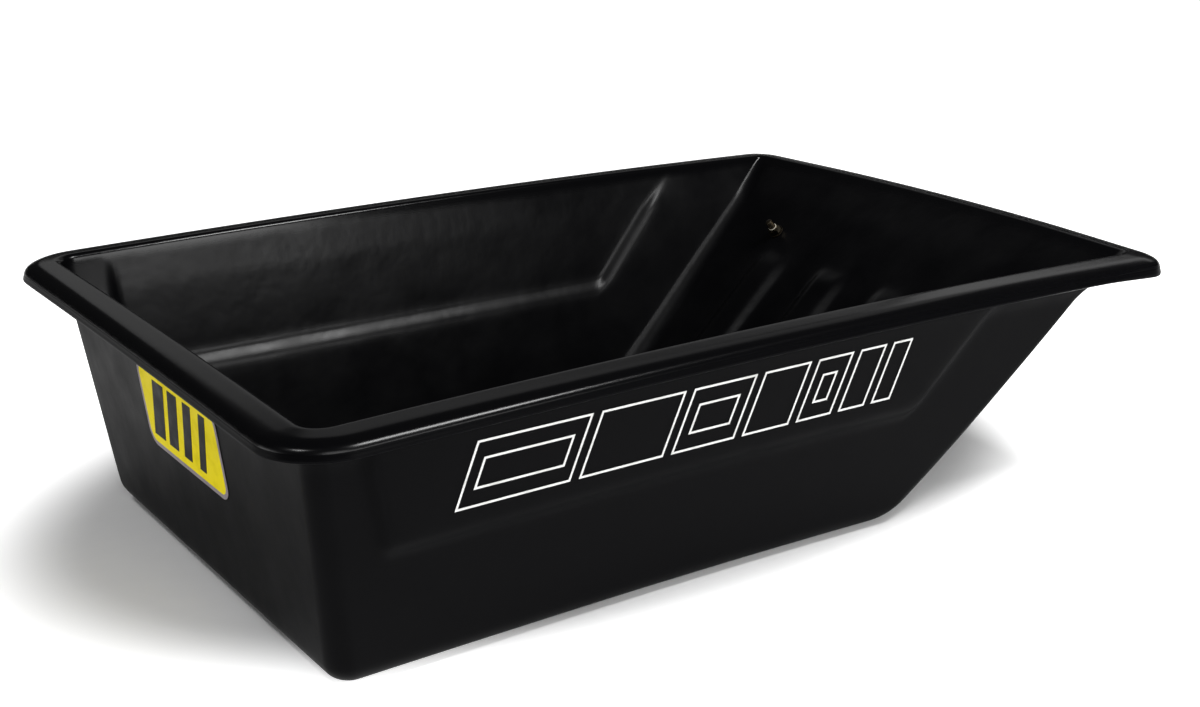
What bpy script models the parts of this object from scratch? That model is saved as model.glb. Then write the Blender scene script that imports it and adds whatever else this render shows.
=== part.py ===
"""A pulk sled: one thermoformed tub with a rolled rim, two tow eyes through its bow, and three plain stickers.

The origin is on the ground under the middle of the rim. +X points to the bow, +Z up, and lengths are in metres.
"""

from math import asin, atan, cos, pi, radians, sin, sqrt, tan

import bmesh
import bpy
from mathutils import Matrix, Vector

# Overall sizes of the tub
LENGTH = 1.000
WIDTH = 0.650
RIM_HEIGHT = 0.254
SHEET = 0.0040

# Floor and walls, on the outer face of the sheet
FLOOR_STERN = 0.435
FLOOR_BOW = 0.192
FLOOR_HALF_WIDTH = 0.241
FLOOR_FILLET = 0.029
BOW_FILLET = 0.080
SIDE_INSET = 0.0451
STERN_INSET = 0.0348
BOW_INSET = 0.0400
FLOOR_CORNER_STERN = 0.021
FLOOR_CORNER_BOW = 0.030
WALL_CORNER_STERN = 0.019
WALL_CORNER_BOW = 0.018

# Rim, on the upper face of the sheet
RIM_CORNER_STERN = 0.061
RIM_CORNER_BOW = 0.033
RIM_EDGE_CORNER = 0.021
FLANGE = 0.0315
FLANGE_RISE = 0.0037
SHOULDER = 0.0088
EDGE_RADIUS = 0.006
LIP_DROP = 0.0120
LIP_FLICK = 0.0015
FLARE_DROP = 0.045
LIP_BOW_DROP = 0.0035
LIP_BOW_START = 0.400

# The set that the sheet takes as it cools
BOW_ARCH_RIM = 0.0251
BOW_ARCH_FLOOR = 0.0119
STERN_HOLLOW_RIM = 0.0032
END_DROP = 0.0066
STERN_RISE = 0.0018
STERN_RISE_START = 0.200
WAIST_FLOOR = 0.0745
WAIST_RIM = 0.0103
WAIST_CENTRE_FLOOR = -0.067
WAIST_CENTRE_RIM = 0.147

# Raised panel in each side
PANEL_DEPTH = 0.0090
PANEL_LEDGE = 0.1196
PANEL_LEDGE_RISE = 0.0145
PANEL_STERN_MARGIN_LOW = 0.0565
PANEL_STERN_MARGIN_TOP = 0.0432
PANEL_BOW_MARGIN_LOW = 0.1460
PANEL_BOW_MARGIN_TOP = 0.1605
PANEL_STERN_FLANK = 0.010
PANEL_BOW_FLANK = 0.014
PANEL_PIECES = 4

# Ribs in the floor and bow
RIB_SPACING = 0.100
RIB_BASE = 0.048
RIB_CROWN = 0.034
RIB_RISE = 0.007
RIB_TOP = 0.168
RIB_RAMP = 0.018
RIB_COUNT = 4

# Tow eyes, their washers and lock nuts, to an M8 thread
TOW_SPREAD = 0.355
TOW_HEIGHT = 0.1835
WIRE = 0.008
EYE_BORE = 0.020
EYE_GAP = radians(24)
SHANK_INSIDE = 0.019
HOLE_CLEARANCE = 0.0005
WASHER_DIAMETER = 0.018
WASHER_THICKNESS = 0.0016
WASHER_SEAT = 0.0005
NUT_ACROSS_FLATS = 0.013
NUT_HEIGHT = 0.0065
NUT_COLLAR = 0.0015
SEAT = 0.0003

# Stickers
STICKER_FILM = 0.0004
STICKER_SEAT = 0.0006
SIDE_STICKER_STERN = -0.340
SIDE_STICKER_BOW = 0.150
SIDE_STICKER_OVER_LEDGE = 0.0129
SIDE_STICKER_OVER_WALL = 0.0040
SIDE_STICKER_SLANT = 0.30
STERN_STICKER_ACROSS = 0.002
STERN_STICKER_WIDTH = 0.186
STERN_STICKER_TALL = 0.090
STERN_STICKER_UNDER_WALL = 0.0040

# How finely the round stretches are cut
FILLET_STEPS = 3
CORNER_STEPS = 6
ROUND_STEPS = 20

RIM_EDGE_INSET = FLANGE + EDGE_RADIUS - SHEET
WALL_TOP = RIM_HEIGHT - FLARE_DROP
SIDE_STICKER_LOW = PANEL_LEDGE + PANEL_LEDGE_RISE + SIDE_STICKER_OVER_LEDGE
SIDE_STICKER_HIGH = WALL_TOP + SIDE_STICKER_OVER_WALL
STERN_STICKER_LOW = WALL_TOP - STERN_STICKER_UNDER_WALL - STERN_STICKER_TALL


def clear_scene():
    for thing in list(bpy.data.objects):
        bpy.data.objects.remove(thing)


def new_collection(name, helper=False):
    made = bpy.data.collections.new(name)
    bpy.context.scene.collection.children.link(made)
    made.hide_render = helper
    return made


def plain_material(name, colour, roughness, metallic=0.0):
    made = bpy.data.materials.new(name)
    made.use_nodes = True
    made.diffuse_color = (*colour, 1.0)
    shader = made.node_tree.nodes["Principled BSDF"]
    shader.inputs["Base Color"].default_value = (*colour, 1.0)
    shader.inputs["Roughness"].default_value = roughness
    shader.inputs["Metallic"].default_value = metallic
    return made


def new_object(name, shape, collection, material=None):
    """An object with this mesh or curve, in this collection."""
    if isinstance(shape, bmesh.types.BMesh):
        mesh = bpy.data.meshes.new(name)
        shape.to_mesh(mesh)
        shape.free()
        shape = mesh
    made = bpy.data.objects.new(name, shape)
    collection.objects.link(made)
    if material:
        shape.materials.append(material)
    return made


def smooth(made, angle=35):
    made.data.shade_smooth()
    made.data.set_sharp_from_angle(angle=radians(angle))


def cutter(name, shape, collection):
    made = new_object(name, shape, collection)
    made.hide_render = True
    made.display_type = "WIRE"
    return made


def boolean(made, operation, other):
    step = made.modifiers.new(f"{operation.lower()} {other.name}", "BOOLEAN")
    step.operation = operation
    step.object = other
    step.solver = "EXACT"


# The three kinds of wall, each a plane that leans outward from a line on the floor

SIDE, STERN, BOW = "side", "stern", "bow"
FLOOR = {SIDE: FLOOR_HALF_WIDTH, STERN: FLOOR_STERN, BOW: FLOOR_BOW}
OUTER = {SIDE: WIDTH / 2, STERN: LENGTH / 2, BOW: LENGTH / 2}
INSET = {SIDE: SIDE_INSET, STERN: STERN_INSET, BOW: BOW_INSET}
FILLET = {SIDE: FLOOR_FILLET, STERN: FLOOR_FILLET, BOW: BOW_FILLET}
LEAN = {w: (OUTER[w] - INSET[w] - FLOOR[w]) / RIM_HEIGHT for w in (SIDE, STERN, BOW)}
CORNER_AT_FLOOR = {STERN: FLOOR_CORNER_STERN, BOW: FLOOR_CORNER_BOW}
CORNER_AT_WALL_TOP = {STERN: WALL_CORNER_STERN, BOW: WALL_CORNER_BOW}
CORNER_AT_RIM = {STERN: RIM_CORNER_STERN, BOW: RIM_CORNER_BOW}


class Row:
    """A line round the shell: how far out and up it runs on each wall, and its corner radii in plan."""

    def __init__(self, out, up, corner, panel=0.0, rib=0.0, lip=0.0):
        self.out = out
        self.up = up
        self.corner = corner
        self.panel = panel
        self.rib = rib
        self.lip = lip


def fillet_row(share):
    """Part of the way up the round between floor and walls."""
    out, up = {}, {}
    for wall, radius in FILLET.items():
        turn = pi / 2 - atan(LEAN[wall])
        out[wall] = FLOOR[wall] + radius * (sin(turn * share) - tan(turn / 2))
        up[wall] = radius * (1 - cos(turn * share))
    corner = {end: radius * sin(share * pi / 2) for end, radius in CORNER_AT_FLOOR.items()}
    return Row(out, up, corner, rib=1.0)


def wall_row(height, panel=0.0, rib=0.0):
    share = height / WALL_TOP
    out = {wall: FLOOR[wall] + LEAN[wall] * height for wall in FLOOR}
    corner = {
        end: CORNER_AT_FLOOR[end] * (1 - share) + CORNER_AT_WALL_TOP[end] * share
        for end in CORNER_AT_FLOOR
    }
    return Row(out, dict.fromkeys(FLOOR, height), corner, panel, rib)


def rim_row(inset, rise, lip=0.0):
    """On the under face of the rim, this far in from the lip's face and above the shoulder's top."""
    share = min(max(inset / RIM_EDGE_INSET, 0.0), 1.0)
    out = {wall: OUTER[wall] - inset for wall in OUTER}
    corner = {
        end: RIM_EDGE_CORNER * share + CORNER_AT_RIM[end] * (1 - share)
        for end in CORNER_AT_RIM
    }
    return Row(out, dict.fromkeys(OUTER, RIM_HEIGHT + rise), corner, lip=lip)


def shell_rows():
    """All rows, from the edge of the flat floor to the free edge of the lip."""
    rows = [fillet_row(step / FILLET_STEPS) for step in range(FILLET_STEPS + 1)]
    rows.append(wall_row(PANEL_LEDGE, rib=1.0))
    rows.append(wall_row(PANEL_LEDGE + PANEL_LEDGE_RISE, panel=1.0, rib=1.0))
    rows.append(wall_row(RIB_TOP - RIB_RAMP, panel=1.0, rib=1.0))
    rows.append(wall_row(RIB_TOP, panel=1.0))
    rows.append(wall_row(WALL_TOP, panel=1.0))
    edge = EDGE_RADIUS - SHEET
    for step in range(3):
        angle = step * pi / 4
        rows.append(rim_row(FLANGE + edge * cos(angle), FLANGE_RISE - EDGE_RADIUS + edge * sin(angle)))
    shoulder = SHOULDER - SHEET
    for step in range(3):
        angle = pi / 2 + step * pi / 4
        rows.append(rim_row(SHOULDER + shoulder * cos(angle), shoulder * sin(angle) - SHOULDER))
    rows.append(rim_row(SHEET - LIP_FLICK, -LIP_DROP - LIP_FLICK, lip=1.0))
    return rows


# Columns of the shell

def panel_columns(row, height):
    """X of the panel's edges and of the columns between them, from stern to bow, on this row."""
    along = (height - PANEL_LEDGE) / (RIM_HEIGHT - PANEL_LEDGE)
    stern = -FLOOR[STERN] - LEAN[STERN] * height
    bow = FLOOR[BOW] + LEAN[BOW] * height
    stern += PANEL_STERN_MARGIN_LOW * (1 - along) + PANEL_STERN_MARGIN_TOP * along
    bow -= PANEL_BOW_MARGIN_LOW * (1 - along) + PANEL_BOW_MARGIN_TOP * along
    first, last = stern + PANEL_STERN_FLANK / 2, bow - PANEL_BOW_FLANK / 2
    between = [first + (last - first) * i / PANEL_PIECES for i in range(PANEL_PIECES + 1)]
    return [stern - PANEL_STERN_FLANK / 2, *between, bow + PANEL_BOW_FLANK / 2]


def side_columns(row):
    """X of every column of a side, corner arcs left out. Past the panel they keep its shares of the length."""
    height = min(max(row.up[SIDE], PANEL_LEDGE), WALL_TOP)
    level = wall_row(height)
    ends = [-level.out[STERN] + level.corner[STERN], level.out[BOW] - level.corner[BOW]]
    inner = panel_columns(level, height)
    shares = [(x - ends[0]) / (ends[1] - ends[0]) for x in inner]
    start, stop = -row.out[STERN] + row.corner[STERN], row.out[BOW] - row.corner[BOW]
    return [start, *(start + (stop - start) * share for share in shares), stop]


def rib_columns():
    """Y of each rib's foot and crown, from right to left, and how far each column stands proud."""
    columns = []
    for number in range(RIB_COUNT):
        centre = (number - (RIB_COUNT - 1) / 2) * RIB_SPACING
        half = ((-RIB_BASE / 2, 0.0), (-RIB_CROWN / 2, 1.0), (RIB_CROWN / 2, 1.0), (RIB_BASE / 2, 0.0))
        columns += [(centre + offset, proud) for offset, proud in half]
    return columns


def half_width(row, x):
    """Half the width at this x: the sides draw in towards the waist, more at the floor than at the rim."""
    share = min(row.up[SIDE] / RIM_HEIGHT, 1.0)
    at_floor = WAIST_FLOOR * (x - WAIST_CENTRE_FLOOR) ** 2
    at_rim = WAIST_RIM * (x - WAIST_CENTRE_RIM) ** 2
    return row.out[SIDE] + at_floor * (1 - share) + at_rim * share


def settle(x, y, z):
    """The arch of the bow, the slight hollow of the stern, and the lie of both ends."""
    share = min(z / RIM_HEIGHT, 1.0)
    arch = BOW_ARCH_FLOOR * (1 - share) + BOW_ARCH_RIM * share
    if x < 0:
        arch = STERN_HOLLOW_RIM * share
    along = x / (LENGTH / 2)
    across = y / (WIDTH / 2)
    aft = max(-x - STERN_RISE_START, 0.0) / (FLOOR_STERN - STERN_RISE_START)
    x -= arch * along ** 2 * across ** 2
    z += STERN_RISE * (1 - share) * aft ** 2 - END_DROP * share * along ** 2
    return Vector((x, y, z))


def bow_inward(row):
    """The direction into the tub, square to the bow on this row."""
    lean = atan(LEAN[BOW])
    if row.up[BOW] < FILLET[BOW] * (1 - sin(lean)):
        turned = asin(min(max(1 - row.up[BOW] / FILLET[BOW], 0.0), 1.0))
        return Vector((-cos(turned), 0.0, sin(turned)))
    return Vector((-cos(lean), 0.0, sin(lean)))


def corner_arc(row, end, across, steps):
    """Points round one corner, from the side to the end wall. across is +1 on the left side."""
    radius = row.corner[end]
    forward = 1 if end == BOW else -1
    centre_x = forward * (row.out[end] - radius)
    centre_y = half_width(row, centre_x) - radius
    points = []
    for step in range(steps + 1):
        angle = pi / 2 * step / steps
        x = centre_x + forward * radius * sin(angle)
        y = centre_y + radius * cos(angle)
        share = sin(angle) ** 2
        points.append((x, across * y, row.up[SIDE] * (1 - share) + row.up[end] * share))
    return points


def row_points(row):
    """The row as a closed line, anticlockwise from above, starting at the stern end of the right side."""
    columns = side_columns(row)
    right = []
    for number, x in enumerate(columns[1:-1]):
        raised = PANEL_DEPTH * row.panel if 0 < number < len(columns) - 3 else 0.0
        right.append((x, -half_width(row, x) - raised, row.up[SIDE]))
    left = [(x, -y, z) for x, y, z in reversed(right)]
    inward = bow_inward(row) * RIB_RISE * row.rib
    ribs = rib_columns()
    bow = [(row.out[BOW] + inward.x * proud, y, row.up[BOW] + inward.z * proud) for y, proud in ribs]
    stern = [(-row.out[STERN], y, row.up[STERN]) for y, proud in reversed(ribs)]
    line = list(reversed(corner_arc(row, STERN, -1, CORNER_STEPS)))
    line += right + corner_arc(row, BOW, -1, CORNER_STEPS) + bow
    line += list(reversed(corner_arc(row, BOW, 1, CORNER_STEPS)))
    line += left + corner_arc(row, STERN, 1, CORNER_STEPS) + stern
    return [settle(x, y, z - row.lip * bow_lip(x)) for x, y, z in line]


def bow_lip(x):
    """How much deeper the lip is here: it deepens round the bow."""
    share = (x - LIP_BOW_START) / (LENGTH / 2 - LIP_BOW_START)
    return LIP_BOW_DROP * min(max(share, 0.0), 1.0)


def floor_grid(row):
    """The flat floor as rows of points across, from stern to bow, with the ribs raised between their ends."""
    columns = side_columns(row)
    grid = []
    for number, x in enumerate(columns):
        edge = half_width(row, x)
        raised = RIB_RISE if number > 1 else 0.0
        across = [(-edge, 0.0), *rib_columns(), (edge, 0.0)]
        grid.append([settle(x, y, raised * proud) for y, proud in across])
    return grid


def quads(bm, first, second, closed=False):
    """Faces between two equal lines of vertices."""
    count = len(first)
    for i in range(count if closed else count - 1):
        j = (i + 1) % count
        bm.faces.new((first[i], first[j], second[j], second[i]))


def shell_surface():
    """The outer face of the sheet as one open surface, with its faces pointing out."""
    bm = bmesh.new()
    rows = shell_rows()
    lines = [[bm.verts.new(point) for point in row_points(row)] for row in rows]
    for lower, upper in zip(lines, lines[1:]):
        quads(bm, lower, upper, closed=True)
    grid = [[bm.verts.new(point) for point in line] for line in floor_grid(rows[0])]
    for aft, ahead in zip(grid, grid[1:]):
        quads(bm, ahead, aft)
    bmesh.ops.remove_doubles(bm, verts=bm.verts, dist=0.00001)
    bmesh.ops.recalc_face_normals(bm, faces=bm.faces)
    floor = min(bm.faces, key=lambda face: face.calc_center_median().z)
    if floor.normal.z > 0:
        bmesh.ops.reverse_faces(bm, faces=bm.faces)
    return bm


def make_tub(collection, material):
    tub = new_object("tub_shell", shell_surface(), collection, material)
    wall = tub.modifiers.new("sheet", "SOLIDIFY")
    wall.thickness = SHEET
    wall.offset = -1
    wall.use_even_offset = True
    smooth(tub)
    return tub


# Tow eyes

def bow_frame(y, height):
    """A frame on the outer face of the bow: origin on the face, local Z out of the tub, local Y across it."""
    def at(across, up):
        return settle(FLOOR[BOW] + LEAN[BOW] * up, across, up)

    reach = WASHER_DIAMETER / 2
    along = (at(y, height + reach) - at(y, height - reach)).normalized()
    across = (at(y + reach, height) - at(y - reach, height)).normalized()
    out = across.cross(along).normalized()
    if out.x < 0:
        out = -out
    across = out.cross(along).normalized()
    frame = Matrix((across, along, out)).transposed().to_4x4()
    frame.translation = at(y, height)
    return frame


def turned_ring(bore, outside, thickness):
    """A washer by a Screw profile: a rectangle turned about local Z, from Z 0 upwards."""
    bm = bmesh.new()
    corners = ((bore / 2, thickness), (outside / 2, thickness), (outside / 2, 0.0), (bore / 2, 0.0))
    ring = [bm.verts.new((x, 0.0, z)) for x, z in corners]
    for first, second in zip(ring, ring[1:] + ring[:1]):
        bm.edges.new((first, second))
    return bm


def add_turn(made):
    turn = made.modifiers.new("turn", "SCREW")
    turn.steps = ROUND_STEPS
    turn.render_steps = ROUND_STEPS
    turn.use_merge_vertices = True
    turn.merge_threshold = 0.00001


def eye_curve(name):
    """Bent wire: a straight shank along local Z and an eye in the plane of local Y and Z, outside the bow."""
    ring = (EYE_BORE + WIRE) / 2
    neck = SHEET + WASHER_SEAT + WASHER_THICKNESS + SEAT
    curve = bpy.data.curves.new(name, "CURVE")
    curve.dimensions = "3D"
    curve.bevel_depth = WIRE / 2
    curve.bevel_resolution = 2
    curve.use_fill_caps = True
    outer_seat = WASHER_SEAT + WASHER_THICKNESS + WIRE / 2
    centre = Vector((0.0, 0.0, outer_seat + ring * cos(EYE_GAP) + WIRE * 0.75))
    points = [Vector((0.0, 0.0, -neck - SHANK_INSIDE)), Vector((0.0, 0.0, outer_seat))]
    start = asin(0.5)
    turns = 18
    sweep = 2 * pi - EYE_GAP - start
    for step in range(turns + 1):
        angle = start + sweep * step / turns
        points.append(centre + Vector((0.0, ring * sin(angle), -ring * cos(angle))))
    spline = curve.splines.new("POLY")
    spline.points.add(len(points) - 1)
    for point, place in zip(spline.points, points):
        point.co = (*place, 1.0)
    return curve


def hex_nut(name, collection, cutters):
    """A lock nut from local Z 0 upwards: a hexagon with a low round collar, bored through."""
    corner = NUT_ACROSS_FLATS / sqrt(3)
    bm = bmesh.new()
    lift = Matrix.Translation((0.0, 0.0, NUT_HEIGHT / 2))
    bmesh.ops.create_cone(bm, cap_ends=True, segments=6, radius1=corner, radius2=corner,
                          depth=NUT_HEIGHT, matrix=lift)
    nut = new_object(name, bm, collection)
    bm = bmesh.new()
    tall = NUT_HEIGHT + NUT_COLLAR
    lift = Matrix.Translation((0.0, 0.0, tall / 2 + SEAT))
    bmesh.ops.create_cone(bm, cap_ends=True, segments=ROUND_STEPS, radius1=NUT_ACROSS_FLATS * 0.46,
                          radius2=NUT_ACROSS_FLATS * 0.40, depth=tall - SEAT * 2, matrix=lift)
    collar = cutter(f"{name}_collar", bm, cutters)
    bm = bmesh.new()
    bore = WIRE / 2 + SEAT
    bmesh.ops.create_cone(bm, cap_ends=True, segments=ROUND_STEPS, radius1=bore, radius2=bore,
                          depth=4 * tall)
    hole = cutter(f"{name}_bore", bm, cutters)
    for helper in (collar, hole):
        helper.parent = nut
    boolean(nut, "UNION", collar)
    boolean(nut, "DIFFERENCE", hole)
    return nut


def place(made, frame, depth, flip=False):
    """Sets the object on the frame, this far out along its Z, or facing into the tub."""
    turn = Matrix.Rotation(pi, 4, "Y") if flip else Matrix.Identity(4)
    made.matrix_world = frame @ Matrix.Translation((0.0, 0.0, depth)) @ turn


def make_tow_eye(name, y, tub, parts, cutters, metal):
    frame = bow_frame(y, TOW_HEIGHT)
    bm = bmesh.new()
    hole_radius = WIRE / 2 + HOLE_CLEARANCE
    bmesh.ops.create_cone(bm, cap_ends=True, segments=ROUND_STEPS, radius1=hole_radius,
                          radius2=hole_radius, depth=0.05)
    hole = cutter(f"tow_hole_{name}", bm, cutters)
    place(hole, frame, 0.0)
    boolean(tub, "DIFFERENCE", hole)

    eye = new_object(f"tow_eye_bolt_{name}", eye_curve(f"tow_eye_bolt_{name}"), parts, metal)
    place(eye, frame, 0.0)

    bore = 2 * hole_radius
    outer = new_object(f"tow_washer_outer_{name}", turned_ring(bore, WASHER_DIAMETER, WASHER_THICKNESS),
                       parts, metal)
    add_turn(outer)
    place(outer, frame, WASHER_SEAT)
    inner = new_object(f"tow_washer_inner_{name}", turned_ring(bore, WASHER_DIAMETER, WASHER_THICKNESS),
                       parts, metal)
    add_turn(inner)
    inner_seat = -SHEET - WASHER_SEAT
    place(inner, frame, inner_seat, flip=True)
    nut = hex_nut(f"tow_lock_nut_{name}", parts, cutters)
    nut.data.materials.append(metal)
    place(nut, frame, inner_seat - WASHER_THICKNESS - SEAT, flip=True)


# Stickers

def film(name, points, collection, material):
    """A thin film over a grid of points, given as rows, each point on its own outward normal."""
    bm = bmesh.new()
    faces = []
    for lift in (STICKER_SEAT, STICKER_SEAT + STICKER_FILM):
        faces.append([[bm.verts.new(point + normal * lift) for point, normal in line] for line in points])
    for layer in faces:
        for lower, upper in zip(layer, layer[1:]):
            quads(bm, lower, upper)
    inner, outer = faces
    rims = ((inner[0], outer[0]), (inner[-1], outer[-1]),
            ([line[0] for line in inner], [line[0] for line in outer]),
            ([line[-1] for line in inner], [line[-1] for line in outer]))
    for first, second in rims:
        quads(bm, first, second)
    bmesh.ops.recalc_face_normals(bm, faces=bm.faces)
    return new_object(name, bm, collection, material)


def panel_point(x, height, across):
    """A point on the outer face of a side panel, with its outward normal. across is +1 on the left side."""
    def at(px, pz):
        row = wall_row(pz)
        return settle(px, across * (half_width(row, px) + PANEL_DEPTH), pz)

    step = 0.001
    here = at(x, height)
    out = (at(x + step, height) - here).cross(at(x, height + step) - here).normalized()
    return here, out if out.y * across > 0 else -out


def side_sticker(name, across, collection, material):
    """A slanted strip that follows the panel's gentle curve."""
    lines = []
    for i in range(9):
        height = SIDE_STICKER_LOW + (SIDE_STICKER_HIGH - SIDE_STICKER_LOW) * i / 8
        slant = SIDE_STICKER_SLANT * (height - SIDE_STICKER_LOW)
        line = []
        for j in range(13):
            x = SIDE_STICKER_STERN + slant + (SIDE_STICKER_BOW - SIDE_STICKER_STERN) * j / 12
            line.append(panel_point(x, height, across))
        lines.append(line)
    return film(name, lines, collection, material)


def stern_sticker(name, collection, material):
    """A plain upright sticker in the middle of the stern wall."""
    lean = atan(LEAN[STERN])
    out = Vector((-cos(lean), 0.0, -sin(lean)))
    lines = []
    for height in (STERN_STICKER_LOW, STERN_STICKER_LOW + STERN_STICKER_TALL):
        x = -FLOOR[STERN] - LEAN[STERN] * height
        line = []
        for share in (-0.5, 0.0, 0.5):
            y = STERN_STICKER_ACROSS + STERN_STICKER_WIDTH * share
            line.append((settle(x, y, height), out))
        lines.append(line)
    return film(name, lines, collection, material)


def main():
    clear_scene()
    parts = new_collection("pulk_sled")
    cutters = new_collection("cutters", helper=True)
    polyethylene = plain_material("black_polyethylene", (0.012, 0.012, 0.013), 0.35)
    zinc = plain_material("zinc_plated_steel", (0.62, 0.62, 0.60), 0.35, 1.0)
    white_vinyl = plain_material("white_outline_vinyl", (0.80, 0.80, 0.80), 0.45)
    yellow_vinyl = plain_material("yellow_vinyl", (0.85, 0.72, 0.02), 0.40)
    tub = make_tub(parts, polyethylene)
    for name, across in (("left", 1), ("right", -1)):
        make_tow_eye(name, across * TOW_SPREAD / 2, tub, parts, cutters, zinc)
        side_sticker(f"side_sticker_{name}", across, parts, white_vinyl)
    stern_sticker("stern_sticker", parts, yellow_vinyl)


main()
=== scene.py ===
# %% [markdown]
# # A pulk sled, modelled step by step
# A pulk is a deep plastic tub that is pulled over snow or ice with gear in it. This one is a single sheet
# of black polyethylene, sucked down over a mould while hot, so every form on it is one skin of even
# thickness with soft rounds. Two bent-wire eyes at the bow take the tow rope, and three stickers dress it.
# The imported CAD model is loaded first: it says where everything is, in metres, with X to the bow.

# %% Load the frame
from math import asin, atan, atan2, cos, degrees, pi, radians, sin, sqrt, tan

import bmesh
import bpy
from mathutils import Matrix, Vector


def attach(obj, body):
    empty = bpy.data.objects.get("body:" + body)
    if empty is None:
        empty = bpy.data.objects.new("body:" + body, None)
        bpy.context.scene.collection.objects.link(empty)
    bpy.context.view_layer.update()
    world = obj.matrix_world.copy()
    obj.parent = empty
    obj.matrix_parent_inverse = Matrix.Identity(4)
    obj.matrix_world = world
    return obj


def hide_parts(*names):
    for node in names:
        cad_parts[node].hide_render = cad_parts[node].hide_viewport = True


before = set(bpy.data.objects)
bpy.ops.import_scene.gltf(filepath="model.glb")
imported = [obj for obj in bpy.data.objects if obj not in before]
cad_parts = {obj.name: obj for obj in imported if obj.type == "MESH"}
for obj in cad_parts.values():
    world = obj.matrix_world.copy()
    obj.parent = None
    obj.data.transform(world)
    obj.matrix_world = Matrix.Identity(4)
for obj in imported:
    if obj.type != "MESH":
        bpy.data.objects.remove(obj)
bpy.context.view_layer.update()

# %% [markdown]
# ## Small helpers
# Operators act on whatever is selected, and the loader leaves the CAD nodes selected. So each piece starts
# by deselecting everything, and each edit picks its faces or edges by their place.

# %% Object helpers
def only(piece):
    """Makes this the one selected and active object."""
    bpy.ops.object.select_all(action="DESELECT")
    piece.select_set(True)
    bpy.context.view_layer.objects.active = piece
    return piece


def fresh(name):
    """Names the primitive that was just added."""
    piece = bpy.context.object
    piece.name = name
    piece.data.name = name
    return only(piece)


def editing(pick="DESELECT"):
    """The active object's edit mesh, with nothing selected unless all of it is asked for."""
    bpy.ops.object.mode_set(mode="EDIT")
    bpy.ops.mesh.select_all(action=pick)
    mesh = bmesh.from_edit_mesh(bpy.context.object.data)
    for layer in (mesh.verts, mesh.edges, mesh.faces):
        layer.ensure_lookup_table()
    return mesh


def done():
    bmesh.update_edit_mesh(bpy.context.object.data)
    bpy.ops.object.mode_set(mode="OBJECT")


def face_outward():
    """Makes all normals of the active piece agree and point out of it."""
    editing("SELECT")
    bpy.ops.mesh.normals_make_consistent(inside=False)
    done()


def apply_modifier(kind, **settings):
    """Adds a modifier with these settings and applies it."""
    step = bpy.context.object.modifiers.new(kind.lower(), kind)
    for name, value in settings.items():
        setattr(step, name, value)
    bpy.ops.object.modifier_apply(modifier=step.name)


def settle_on_origin(piece):
    """Puts the object's place into its mesh."""
    only(piece)
    bpy.ops.object.transform_apply(location=True, rotation=True, scale=True)


def report(piece):
    size = piece.dimensions * 1000
    print(f"{piece.name}: {len(piece.data.polygons)} faces, {size.x:.1f} x {size.y:.1f} x {size.z:.1f} mm")


# %% [markdown]
# ## The tub
# The real tub is vacuum formed: a flat sheet takes the shape of a mould. The model grows the same way. It
# starts as a flat grid, the floor, and its border is extruded up line by line: round the fillet, up the
# walls, out over the rim and down the lip. A box with bevels would be quicker, but it can't lean each wall by
# its own angle, open each corner at its own rate and raise panels and ribs. The lines follow the under face
# of the sheet, and a Solidify modifier gives the sheet its 4 mm.

# %% The tub's sizes, in metres
# FLOOR is how far out each wall's plane meets the floor, and INSET how far in from the outer edge it reaches
# the rim's height. CORNER_START is the share of a corner's radius that the fillet starts with.
LENGTH, WIDTH, RIM_HEIGHT, SHEET = 1.000, 0.650, 0.254, 0.0040
SIDE, STERN, BOW = "side", "stern", "bow"
FLOOR = {SIDE: 0.241, STERN: 0.435, BOW: 0.192}
OUTER = {SIDE: WIDTH / 2, STERN: LENGTH / 2, BOW: LENGTH / 2}
INSET = {SIDE: 0.0451, STERN: 0.0348, BOW: 0.0400}
FILLET = {SIDE: 0.029, STERN: 0.029, BOW: 0.080}
LEAN = {wall: (OUTER[wall] - INSET[wall] - FLOOR[wall]) / RIM_HEIGHT for wall in FLOOR}
CORNER_START = 0.25
CORNER_AT_FLOOR = {STERN: 0.021, BOW: 0.030}
CORNER_AT_WALL_TOP = {STERN: 0.019, BOW: 0.018}
CORNER_AT_RIM = {STERN: 0.061, BOW: 0.033}
WALL_TOP = RIM_HEIGHT - 0.045
print("walls lean out by", {wall: round(degrees(atan(lean)), 1) for wall, lean in LEAN.items()}, "degrees")

# %% The rim's sizes
# The flange is straight for FLANGE_FLAT of its run, and then rolls over to FLANGE_TIP at the shoulder. The
# lip hangs deeper at the bow.
RIM_EDGE_CORNER = {STERN: 0.021, BOW: 0.013}
FLANGE, FLANGE_RISE = 0.0315, 0.0037
EDGE_RADIUS, SHOULDER = 0.006, 0.0088
FLANGE_FLAT, FLANGE_TIP = 0.55, radians(25)
FLANGE_LINES = (0.2, 0.4, 0.55, 0.66, 0.76, 0.85, 0.93)
EDGE_START = {SIDE: radians(14), STERN: radians(10), BOW: radians(54)}
LIP_DROP, LIP_FLICK = 0.0120, 0.0015
LIP_BOW_DROP, LIP_BOW_START, LIP_BOW_RUN = 0.0035, 0.400, 0.100

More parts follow.
